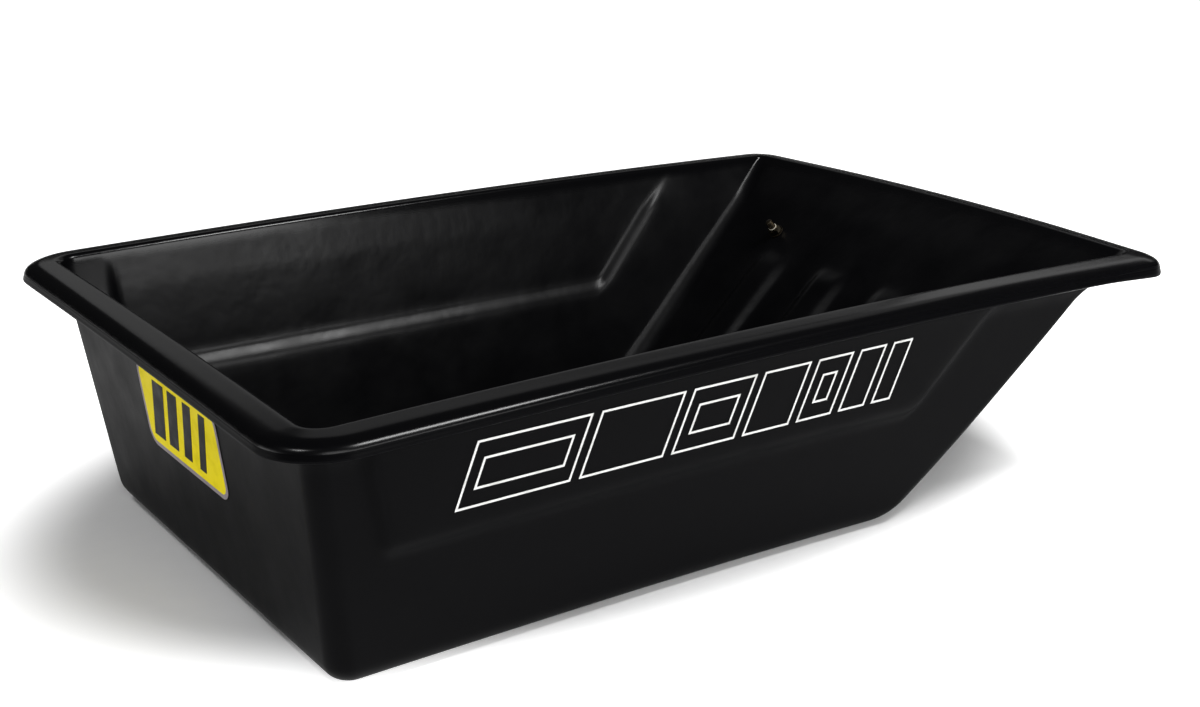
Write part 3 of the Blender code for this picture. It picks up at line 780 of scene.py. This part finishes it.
def side_bars(name, across):
    """The row of bars on one side, joined into one piece."""
    y, x, bars = across * SIDE_PLANE, STRIP_STERN, []
    low, high = STRIP_LOW + INNER_UP, STRIP_HIGH - INNER_UP
    for number, (width, inner) in enumerate(BARS):
        bars.append(outlined_bar(f"bar_{number}", x, width, STRIP_LOW, STRIP_HIGH, y))
        if inner:
            bars.append(outlined_bar(f"bar_in_{number}", x + INNER_IN, width - 2 * INNER_IN, low, high, y))
        x += width + BAR_GAP
    bpy.ops.object.select_all(action="DESELECT")
    for bar in bars:
        bar.select_set(True)
    bpy.context.view_layer.objects.active = bars[0]
    bpy.ops.object.join()
    joined = fresh(name)
    press_on(joined, "y", -across, FILM_LIFT)
    return joined


side_pieces = []
for side, across in (("left", 1), ("right", -1)):
    bars = side_bars(f"side_bars_{side}", across)
    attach(bars, "root")
    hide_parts(f"side_sticker_{side}")
    side_pieces.append(bars)
    report(bars)

# %% [markdown]
# ### The stern label
# A rounded rectangle starts as a plane whose corners are bevelled. An inset gives the grey border its own
# faces, and the slanted bars are thin shapes on top, as a second colour of vinyl is laid over the first.

# %% Label and bars
LABEL_WIDTH, LABEL_LOW, LABEL_HIGH, LABEL_MIDDLE = 0.184, 0.117, 0.203, 0.002
LABEL_ROUND, LABEL_BORDER = 0.016, 0.0045
BAR_FIRST, BAR_SPACING, BAR_LEAN, BAR_MARGIN = 0.078, 0.036, 0.022, 0.013
BAR_WIDTHS = (0.026, 0.022, 0.018, 0.014)


def stern_label(name):
    start, end, x = LABEL_MIDDLE - LABEL_WIDTH / 2, LABEL_MIDDLE + LABEL_WIDTH / 2, STERN_PLANE
    corners = ((x, start, LABEL_LOW), (x, end, LABEL_LOW), (x, end, LABEL_HIGH), (x, start, LABEL_HIGH))
    label = flat_shape(name, corners)
    editing("SELECT")
    bpy.ops.mesh.bevel(offset=LABEL_ROUND, segments=8, affect="VERTICES")
    bpy.ops.mesh.select_all(action="SELECT")
    bpy.ops.mesh.inset(thickness=LABEL_BORDER, use_even_offset=True)
    done()
    press_on(label, "x", 1, FILM_LIFT)
    return label


def label_bar(name, start, width):
    x, end, low, high = STERN_PLANE, start - width, LABEL_LOW + BAR_MARGIN, LABEL_HIGH - BAR_MARGIN
    corners = ((x, start, low), (x, end, low), (x, end - BAR_LEAN, high), (x, start - BAR_LEAN, high))
    bar = flat_shape(name, corners)
    press_on(bar, "x", 1, FILM_LIFT + FILM)
    return bar


label = stern_label("stern_label")
label_bars = []
for number, width in enumerate(BAR_WIDTHS):
    label_bars.append(label_bar(f"label_bar_{number}", BAR_FIRST - BAR_SPACING * number, width))
report(label)

for piece in (label, *label_bars):
    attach(piece, "root")
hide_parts("stern_sticker")

# %% [markdown]
# ## Finishes
# Every finish is a Principled shader whose colour, roughness and bump come from a few nodes. Colours are
# written as they look on a screen, and one function turns them into the linear light of the shader.

# %% Colours and nodes
def colour(code):
    """A screen colour such as #101820 as linear red, green, blue and alpha."""
    channels = [int(code[i:i + 2], 16) / 255 for i in (1, 3, 5)]
    return (*(c / 12.92 if c <= 0.04045 else ((c + 0.055) / 1.055) ** 2.4 for c in channels), 1.0)


def finish(name):
    """A material with its Principled shader."""
    made = bpy.data.materials.get(name) or bpy.data.materials.new(name)
    made.use_nodes = True
    return made, made.node_tree.nodes["Principled BSDF"]


def socket_of(sockets, name):
    """The socket in use with this name: a Mix node carries one set of sockets for each kind of value."""
    return next(socket for socket in sockets if socket.name == name and socket.enabled)


def plug(material, target, **inputs):
    """Links outputs to the sockets with these names, or sets the sockets' own values."""
    for name, value in inputs.items():
        socket = socket_of(target.inputs, name.replace("_", " "))
        if isinstance(value, bpy.types.NodeSocket):
            material.node_tree.links.new(value, socket)
        else:
            socket.default_value = value


def add_node(material, kind, settings=None, **inputs):
    """Adds a node, sets what is named in settings, and links or sets its sockets by name."""
    made = material.node_tree.nodes.new(kind)
    for name, value in (settings or {}).items():
        setattr(made, name, value)
    plug(material, made, **inputs)
    return made


def dress(piece, *materials):
    piece.data.materials.clear()
    for material in materials:
        piece.data.materials.append(material)


# %% Outputs that the materials share
def object_place(material):
    """Where each point lies on the object, in metres."""
    return add_node(material, "ShaderNodeTexCoord").outputs["Object"]


def pointiness(material):
    """Above a half on outward edges, below it in hollows."""
    return add_node(material, "ShaderNodeNewGeometry").outputs["Pointiness"]


def noise(material, where, scale, detail=2.0, roughness=0.5):
    made = add_node(material, "ShaderNodeTexNoise", Vector=where, Scale=scale, Detail=detail,
                    Roughness=roughness)
    return made.outputs["Fac"]


def ranged(material, value, first, last, low=0.0, high=1.0, settings=None):
    """Low up to the first value, high from the last one on."""
    made = add_node(material, "ShaderNodeMapRange", settings, Value=value, From_Min=first, From_Max=last,
                    To_Min=low, To_Max=high)
    return made.outputs["Result"]


def stretched(material, where, scale):
    return add_node(material, "ShaderNodeMapping", Vector=where, Scale=scale).outputs["Vector"]


def mix(material, factor, first, second, kind="FLOAT"):
    """A mix of two values, or of two colours where the kind is RGBA."""
    made = add_node(material, "ShaderNodeMix", {"data_type": kind}, Factor=factor, A=first, B=second)
    return socket_of(made.outputs, "Result")


def greater(material, first, second):
    made = add_node(material, "ShaderNodeMath", {"operation": "MAXIMUM"})
    for socket, value in zip(made.inputs, (first, second)):
        material.node_tree.links.new(value, socket)
    return made.outputs["Value"]


def bump(material, height, strength, distance, **under):
    """A surface raised by this height, on top of the one under it if there is one."""
    made = add_node(material, "ShaderNodeBump", Height=height, Strength=strength, Distance=distance, **under)
    return made.outputs["Normal"]


# %% [markdown]
# ### Black polyethylene
# The sheet is high-density polyethylene, coloured through with carbon black. The face that met the mould is
# satin and even. The other face only saw air while the sheet was drawn, so it is glossier, and it keeps soft
# clouds and long streaks where the hot sheet stretched. So the tub has two finishes of one recipe. Nodes on
# object coordinates draw everything: clouds about 60 mm wide, streaks that run up the walls, a fine grain
# drawn about a millimetre wide to show at all, edges rubbed a little greyer, and drag marks under the floor.

# %% Two skins of the sheet
RIM_BLACK, RUBBED_GREY, RUBBED_ROUGHNESS = "#060607", "#1d1d1f", 0.55


def polyethylene(name, dark, light, gloss, roughness, rim_from, rim_roughness, cloud_depth):
    """One skin of the sheet. The rim starts at the height rim_from, and the clouds are cloud_depth deep."""
    plastic, shader = finish(name)
    where = object_place(plastic)
    clouds = noise(plastic, where, scale=16.0, detail=3.0, roughness=0.55)
    drawn = stretched(plastic, where, (46.0, 46.0, 7.0))
    streaks = noise(plastic, drawn, scale=1.0, detail=4.0, roughness=0.6)
    grain = noise(plastic, where, scale=950.0)
    dragged = stretched(plastic, where, (9.0, 620.0, 620.0))
    scratches = noise(plastic, dragged, scale=1.0)

    # The floor's under face is rubbed up to about 12 mm above the ground.
    height = add_node(plastic, "ShaderNodeSeparateXYZ", Vector=where).outputs["Z"]
    under = ranged(plastic, height, first=0.012, last=0.002)
    drag = mix(plastic, under, 0.0, ranged(plastic, scratches, first=0.52, last=0.66))

    # The grain breaks up the wear along the edges.
    edge_wear = ranged(plastic, pointiness(plastic), first=0.515, last=0.60)
    broken = ranged(plastic, grain, first=0.35, last=0.75)
    worn = greater(plastic, drag, mix(plastic, broken, 0.0, edge_wear))

    # The rim cools first: it stays true, smooth and evenly black, and the waves die out below it.
    rim = ranged(plastic, height, first=rim_from, last=rim_from + 0.010)
    tint = mix(plastic, clouds, colour(dark), colour(light), "RGBA")
    tint = mix(plastic, rim, tint, colour(RIM_BLACK), "RGBA")
    shade = mix(plastic, worn, tint, colour(RUBBED_GREY), "RGBA")
    cloudy = ranged(plastic, clouds, first=0.3, last=0.7, low=roughness - 0.05, high=roughness + 0.07)
    matt = mix(plastic, worn, mix(plastic, rim, cloudy, rim_roughness), RUBBED_ROUGHNESS)

    wavy = ranged(plastic, rim, first=0.0, last=1.0, low=1.0, high=0.1)
    fine = bump(plastic, grain, strength=0.05, distance=0.0004)
    long = bump(plastic, streaks, wavy, cloud_depth * 0.12, Normal=fine)
    soft = bump(plastic, clouds, wavy, cloud_depth, Normal=long)
    plug(plastic, shader, Base_Color=shade, Roughness=matt, Normal=soft, IOR=1.51, Specular_IOR_Level=gloss)
    print(name, "roughness about", roughness, "clouds", round(cloud_depth * 1000, 2), "mm deep")


polyethylene("black_polyethylene_mould_side", "#0a0a0b", "#0d0d0e", gloss=0.014, roughness=0.42,
             rim_from=0.230, rim_roughness=0.30, cloud_depth=0.0005)
polyethylene("black_polyethylene_air_side", "#020203", "#050506", gloss=0.15, roughness=0.34,
             rim_from=0.240, rim_roughness=0.16, cloud_depth=0.0012)

# %% [markdown]
# ### Zinc, nylon and vinyl
# The fittings are zinc-plated steel with a bronze tint, greyer clouds and paler edges. All three colours are
# set far darker than such zinc is: painted shade, standing in for the dim room that the metal mirrors. The
# nut's ring is natural nylon, milky and a little grey. Cut vinyl is nearly flat in colour; a slight
# unevenness of tone and gloss, and fine scuffs, make it look like film.

# %% Metal
def zinc_coat(name, bronze, cloudy, bare):
    metal, shader = finish(name)
    where = object_place(metal)
    patches = ranged(metal, noise(metal, where, scale=190.0, detail=3.0), first=0.35, last=0.65)
    specks = noise(metal, where, scale=1400.0)
    coat = mix(metal, patches, colour(bronze), colour(cloudy), "RGBA")
    worn = ranged(metal, pointiness(metal), first=0.54, last=0.70)
    plug(metal, shader, Base_Color=mix(metal, worn, coat, colour(bare), "RGBA"), Metallic=1.0,
         Roughness=ranged(metal, specks, first=0.3, last=0.7, low=0.36, high=0.55),
         Normal=bump(metal, specks, strength=0.3, distance=0.0001))
    return metal


# Painted shade: the zinc's colours are set this dark to stand in for the dim room it mirrors.
zinc = zinc_coat("bronze_zinc_with_painted_shade", "#30281d", "#23211d", "#565044")
for piece in metal_pieces:
    dress(piece, zinc)


# %% Nylon and vinyl
def pale_plastic(name, code, shadow, grain_size):
    """Its tone dips to a shadow colour in soft patches, and a fine bump breaks its gloss."""
    made, shader = finish(name)
    where = object_place(made)
    patches, peel = noise(made, where, scale=55.0, detail=4.0), noise(made, where, scale=1 / grain_size)
    scuffed = ranged(made, patches, first=0.52, last=0.78)
    plug(made, shader, Base_Color=mix(made, scuffed, colour(code), colour(shadow), "RGBA"),
         Roughness=ranged(made, patches, first=0.3, last=0.7, low=0.44, high=0.60),
         Normal=bump(made, peel, strength=0.2, distance=0.0001), Specular_IOR_Level=0.04)
    return made


nylon = pale_plastic("natural_nylon", "#b9b4a6", "#a39c8b", 0.0005)
white = pale_plastic("white_vinyl", "#ececea", "#d3d3d0", 0.0009)
yellow = pale_plastic("yellow_vinyl", "#ebd807", "#d9c60a", 0.0009)
grey = pale_plastic("grey_vinyl", "#8b8388", "#79727a", 0.0009)
black = pale_plastic("black_vinyl", "#101011", "#18181a", 0.0009)
for pieces, material in ((nylon_pieces, nylon), (side_pieces, white), (label_bars, black)):
    for piece in pieces:
        dress(piece, material)

# The label's two big faces are yellow, and the border round them is grey.
dress(label, yellow, grey)
for face in label.data.polygons:
    face.material_index = 0 if len(face.vertices) > 4 else 1
print(sum(face.material_index == 0 for face in label.data.polygons), "yellow faces")

# %% [markdown]
# ## Floor, light and camera
# The sled stands on a plain white floor. Near the sled it is as bright as the lamps make it, so it keeps
# the shadow. Further out the lamps fade, and the floor glows white for whatever sees or mirrors it.

# %% Floor
FLOOR_RADIUS, FLOOR_DROP = 30.0, 0.0005
SHADOW_MIDDLE, GLOW_START, GLOW_END = (-0.01, 0.08, 0.0), 1.00, 1.35
bpy.ops.object.select_all(action="DESELECT")
bpy.ops.mesh.primitive_circle_add(vertices=96, radius=FLOOR_RADIUS, fill_type="NGON")
floor = fresh("floor")
floor.location.z = -FLOOR_DROP
settle_on_origin(floor)
floor_white, shader = finish("white_floor")
where = object_place(floor_white)
speckle = noise(floor_white, where, scale=40.0, detail=3.0)
shade = mix(floor_white, speckle, colour("#f1f1f1"), colour("#f5f5f5"), "RGBA")

# The glow starts on an ellipse round the shadow, and diffuse rays don't see it.
scale = Vector((2 / LENGTH, 2 / WIDTH, 1.0))
spread = add_node(floor_white, "ShaderNodeMapping", Vector=where, Scale=scale,
                  Location=-scale * Vector(SHADOW_MIDDLE)).outputs["Vector"]
distance = add_node(floor_white, "ShaderNodeVectorMath", {"operation": "LENGTH"}, Vector=spread)
glow = ranged(floor_white, distance.outputs["Value"], first=GLOW_START, last=GLOW_END,
              settings={"interpolation_type": "SMOOTHSTEP"})
rays = add_node(floor_white, "ShaderNodeLightPath").outputs
seen = greater(floor_white, rays["Is Camera Ray"], rays["Is Glossy Ray"])
seen = greater(floor_white, seen, rays["Is Transmission Ray"])
plug(floor_white, shader, Base_Color=shade, Roughness=0.8, Specular_IOR_Level=0.1,
     Emission_Color=colour("#ffffff"), Emission_Strength=mix(floor_white, seen, 0.0, glow))
dress(floor, floor_white)

# %% Camera
EYE, YAW, PITCH, ROLL = Vector((-0.9614, -1.3860, 0.7023)), 0.9668, -0.3188, 0.0041
ahead = Vector((cos(PITCH) * cos(YAW), cos(PITCH) * sin(YAW), sin(PITCH)))
level = ahead.cross(Vector((0, 0, 1))).normalized()
upright = level.cross(ahead)
rightward = level * cos(ROLL) + upright * sin(ROLL)
upward = upright * cos(ROLL) - level * sin(ROLL)
lens = bpy.data.cameras.new("camera")
lens.sensor_width, lens.lens = 36.0, 51.69
camera = bpy.data.objects.new("camera", lens)
bpy.context.scene.collection.objects.link(camera)
camera.matrix_world = Matrix.Translation(EYE) @ Matrix((rightward, upward, -ahead)).transposed().to_4x4()
bpy.context.scene.camera = camera
print("camera", [round(value, 3) for value in EYE], "lens", lens.lens, "mm")

# %% [markdown]
# ### Lamps and room
# Black plastic shows little but what it mirrors, so the lamps are placed for their reflections. Two softboxes
# on the near side shine in the raised far panel. One over the near side draws the line along the rim's
# shoulder, a small one the glint at its stern corner, and the dim ones over the far side and the bow lie on
# the flat of the near rim. The last one lights the stern. The room itself is nearly dark, as an even pale
# room would turn every black face grey.

# %% Lamps and room
def softbox(name, place, aim, size, watts):
    lamp = bpy.data.lights.new(name, "AREA")
    lamp.shape, lamp.size, lamp.size_y, lamp.energy = "RECTANGLE", size[0], size[1], watts
    holder = bpy.data.objects.new(name, lamp)
    bpy.context.scene.collection.objects.link(holder)
    holder.location = place
    holder.rotation_euler = (Vector(aim) - Vector(place)).to_track_quat("-Z", "Y").to_euler()
    print(name, watts, "W")


MIDDLE, ROOM_STRENGTH = (0.0, 0.0, 0.2), 0.02
softbox("softbox_low_near", (0.65, -3.0, 1.10), MIDDLE, (1.1, 1.1), 37)
softbox("softbox_high_near", (-0.9, -3.0, 1.8), MIDDLE, (1.8, 1.1), 42)
softbox("softbox_over_shoulder", (0.74, -1.15, 2.38), (1.04, -0.2, 0.2), (0.72, 0.62), 60)
softbox("softbox_over_corner", (-1.70, -0.35, 2.4), MIDDLE, (0.4, 0.3), 16)
softbox("softbox_over_far", (1.9, 2.3, 2.5), MIDDLE, (2.8, 0.9), 2.4)
softbox("softbox_over_bow", (4.4, 2.3, 2.3), MIDDLE, (2.0, 0.9), 4)
softbox("softbox_far", (1.5, 3.0, 1.5), MIDDLE, (3.0, 0.9), 3)
softbox("softbox_stern", (-2.9, 0.9, 0.6), MIDDLE, (1.6, 0.8), 24)
room = bpy.data.worlds.new("room")
bpy.context.scene.world = room
room.use_nodes = True
plug(room, room.node_tree.nodes["Background"], Color=colour("#ffffff"), Strength=ROOM_STRENGTH)
bpy.context.scene.view_settings.view_transform = "Standard"
